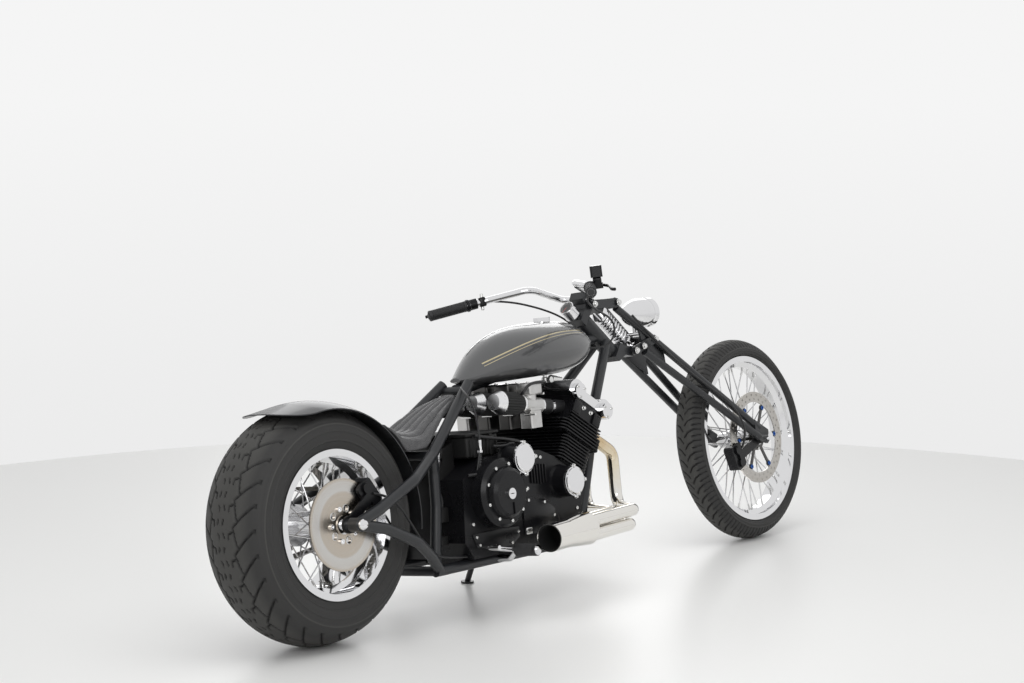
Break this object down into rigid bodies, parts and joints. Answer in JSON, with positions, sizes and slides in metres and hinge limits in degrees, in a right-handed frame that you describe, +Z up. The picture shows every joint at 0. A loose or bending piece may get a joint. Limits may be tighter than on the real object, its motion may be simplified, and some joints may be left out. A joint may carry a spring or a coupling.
{
  "type": "chopper motorcycle",
  "caption": "Rigid-frame chopper motorcycle with a long girder fork, wide rear tyre, transverse engine, wheels and steering that turn, parked on a folding side stand.",
  "frame": {"origin": "on the road, under the centre of the bounding box, with the motorcycle parked on its side stand", "axes": "+X forward along the motorcycle, +Y to its left, +Z up"},
  "size_m": [2.7505, 0.782, 0.9957],
  "materials": {
    "frame_black": "satin",
    "gloss_black": "gloss",
    "engine_black": "satin",
    "chrome": "polished",
    "exhaust_chrome": "polished",
    "bare_alloy": "satin",
    "disc_steel": "brushed",
    "chain_steel": "oiled",
    "tyre": "matt",
    "rubber": "matt",
    "leather": "satin",
    "filter_cloth": "matt",
    "dull_plastic": "matt",
    "lens": "clear"
  },
  "bodies": {
    "frame": {"frame_spine": "frame_black", "seat_stays": "frame_black", "rear_posts": "frame_black", "lower_stays": "frame_black", "lower_rails": "frame_black", "downtubes": "frame_black", "cross_tubes": "frame_black", "axle_lugs": "frame_black", "rear_axle": "chrome", "crankcase": "engine_black", "side_covers": "engine_black", "chrome_caps": "chrome", "barrels": "engine_black", "cylinder_head": "engine_black", "cam_cover": "chrome", "carburettors": "bare_alloy", "intake_boots": "rubber", "filter_pleats": "filter_cloth", "filter_ends": "chrome", "exhaust_headers": "exhaust_chrome", "collector": "exhaust_chrome", "fuel_tank": "gloss_black", "fuel_cap": "chrome", "rear_fender": "gloss_black", "seat": "leather", "battery_box": "dull_plastic", "chain": "chain_steel", "drive_sprocket": "chain_steel", "rear_caliper": "engine_black", "foot_controls": "chrome"},
    "rear_wheel": {"rear_tyre": "tyre", "rear_rim": "chrome", "rear_hub": "chrome", "rear_disc": "disc_steel", "rear_sprocket": "chain_steel"},
    "steering": {"lower_yoke": "frame_black", "upper_yoke": "frame_black", "fork_links": "frame_black", "girder_legs": "frame_black", "girder_bosses": "frame_black", "fork_shock": "chrome", "fork_spring": "chrome", "front_axle": "chrome", "front_caliper": "engine_black", "handlebar": "chrome", "grips": "rubber", "brake_control": "engine_black", "clutch_control": "engine_black", "headlight_shell": "chrome", "headlight_lens": "lens", "speedometer": "chrome"},
    "front_wheel": {"front_tyre": "tyre", "front_rim": "chrome", "front_hub": "chrome", "front_disc": "disc_steel", "front_carrier": "bare_alloy"},
    "side_stand": {"side_stand": "frame_black"}
  },
  "joints": [
    {"name": "rear_wheel_spin", "type": "hinge", "parent": "frame", "child": "rear_wheel", "pos_m": [-1.04531, -0.03641, 0.32856], "axis": [-0.0001, 0.992, -0.1262], "continuous": true},
    {"name": "steering_turn", "type": "hinge", "parent": "frame", "child": "steering", "pos_m": [0.22353, 0.02315, 0.79612], "axis": [-0.7578, 0.0823, 0.6473], "range_deg": [-31.2, 24.8]},
    {"name": "front_wheel_spin", "type": "hinge", "parent": "steering", "child": "front_wheel", "pos_m": [1.03551, -0.02524, 0.33591], "axis": [-0.0365, 0.9851, -0.168], "continuous": true},
    {"name": "side_stand_fold", "type": "hinge", "parent": "frame", "child": "side_stand", "pos_m": [-0.19543, 0.10006, 0.1172], "axis": [0.1694, 0.8211, 0.545], "range_deg": [0, 96.38]}
  ]
}
